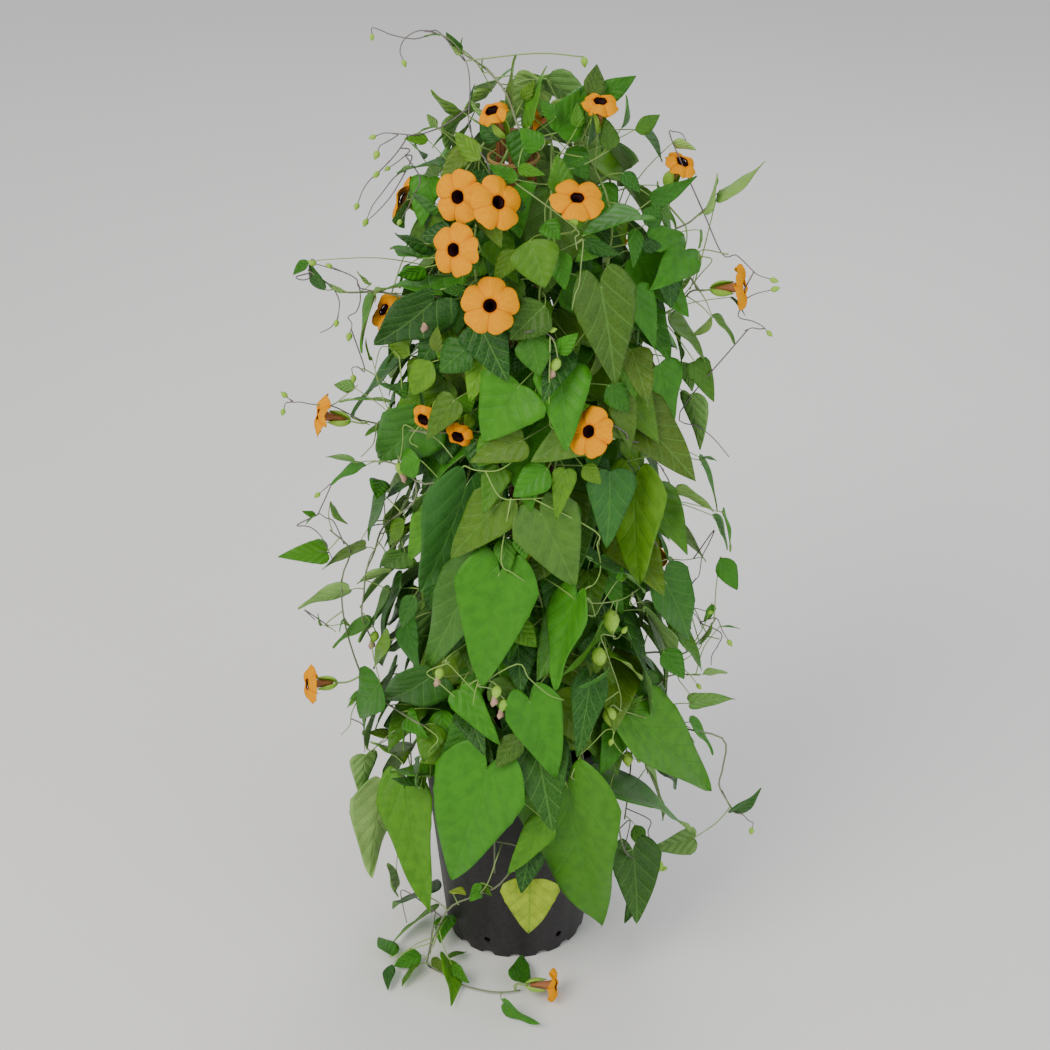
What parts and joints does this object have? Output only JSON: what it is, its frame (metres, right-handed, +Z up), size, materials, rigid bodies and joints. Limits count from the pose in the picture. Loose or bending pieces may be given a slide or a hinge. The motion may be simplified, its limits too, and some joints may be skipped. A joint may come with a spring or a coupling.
{
  "type": "climbing vine in pot",
  "caption": "Climbing vine with arrow shaped leaves and golden dark eyed blooms, trained up canes in a round tapered nursery pot that stands on its base.",
  "frame": {"origin": "middle of the pot's base, on the floor it stands on", "axes": "+Z up, along the column of foliage; -Y towards the front that the picture shows"},
  "size_m": [0.4176, 0.2959, 0.8467],
  "materials": {
    "charcoal_plastic": "matte charcoal black nursery plastic",
    "potting_soil": "dark crumbly peat",
    "bamboo": "stained bamboo, satin",
    "tie": "soft twine",
    "leaf_green": "soft living leaf and stem, slightly glossy",
    "golden_petal": "matte petal with a dark eye"
  },
  "bodies": {
    "root": {"pot": "charcoal_plastic", "soil": "potting_soil", "cane_1": "bamboo", "cane_2": "bamboo", "cane_3": "bamboo", "cane_tie": "tie", "vine_1": "leaf_green", "vine_2": "leaf_green", "vine_3": "leaf_green", "vine_4": "leaf_green", "vine_5": "leaf_green", "vine_6": "leaf_green", "vine_7": "leaf_green", "vine_8": "leaf_green", "bloom_01": "golden_petal", "bloom_02": "golden_petal", "bloom_03": "golden_petal", "bloom_04": "golden_petal", "bloom_05": "golden_petal", "bloom_06": "golden_petal", "bloom_07": "golden_petal", "bloom_08": "golden_petal", "bloom_09": "golden_petal", "bloom_10": "golden_petal", "bloom_11": "golden_petal", "bloom_12": "golden_petal", "bloom_13": "golden_petal", "bloom_14": "golden_petal", "bloom_15": "golden_petal", "bloom_16": "golden_petal", "bloom_17": "golden_petal", "bloom_18": "golden_petal", "bloom_19": "golden_petal", "bloom_20": "golden_petal", "bloom_21": "golden_petal"}
  },
  "joints": []
}
